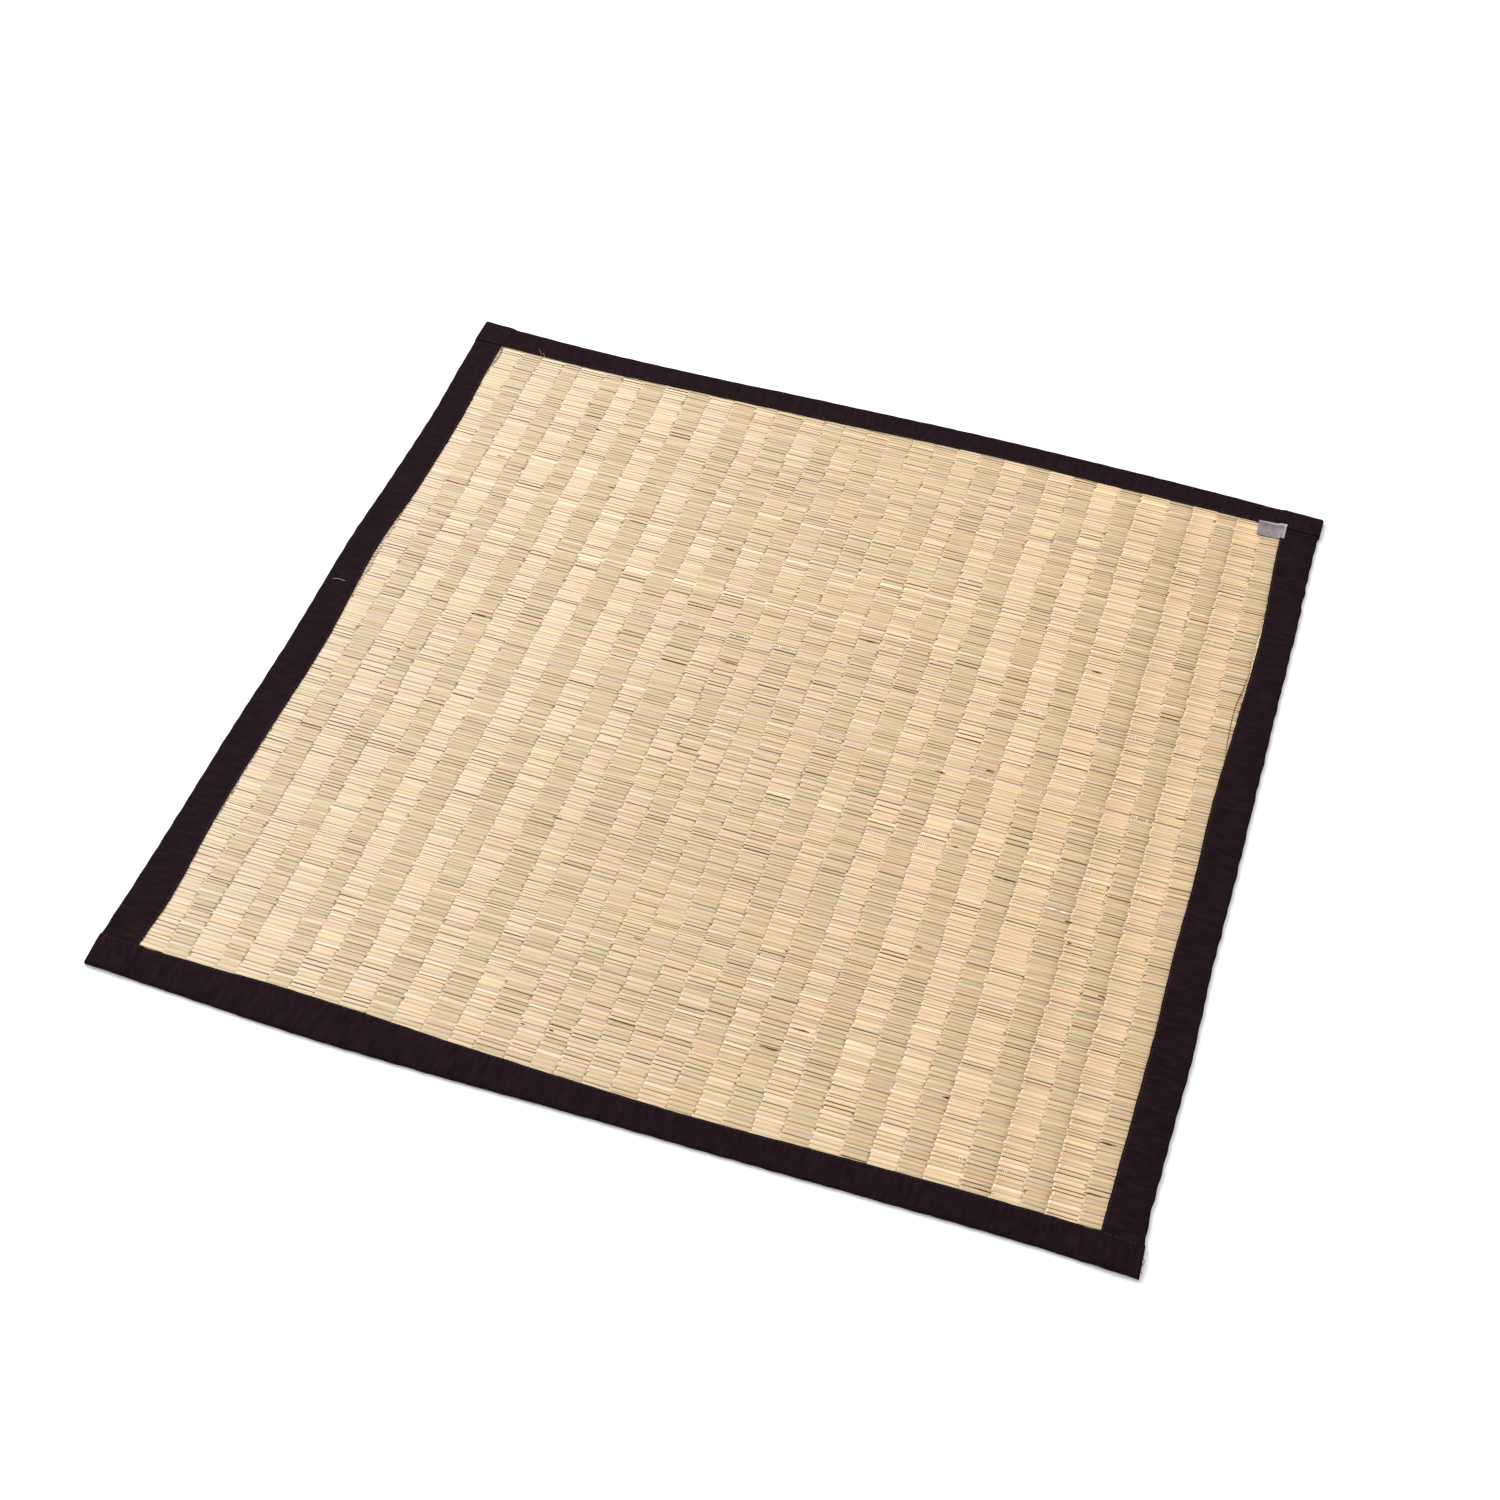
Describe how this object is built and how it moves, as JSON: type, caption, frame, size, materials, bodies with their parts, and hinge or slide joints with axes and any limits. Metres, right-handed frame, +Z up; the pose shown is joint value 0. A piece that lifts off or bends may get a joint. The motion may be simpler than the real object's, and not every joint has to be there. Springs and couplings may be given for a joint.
{
  "type": "rush mat",
  "caption": "Square woven rush floor mat with a dark cotton binding folded over every edge and a small blank cloth label at one corner.",
  "frame": {"origin": "under the middle of the mat, on the surface that it lies on", "axes": "+X along the straws, +Y towards the edge whose +X end carries the label, +Z up"},
  "size_m": [0.804, 0.81, 0.0079],
  "materials": {
    "rush": "dry woven rush, satin skin, straws from cream to grey-green",
    "binding": "matt black cotton tape",
    "label": "matt grey woven tape"
  },
  "bodies": {
    "root": {"rush_panel": "rush", "binding_left": "binding", "binding_right": "binding", "binding_near": "binding", "binding_far": "binding", "label": "label"}
  },
  "joints": []
}
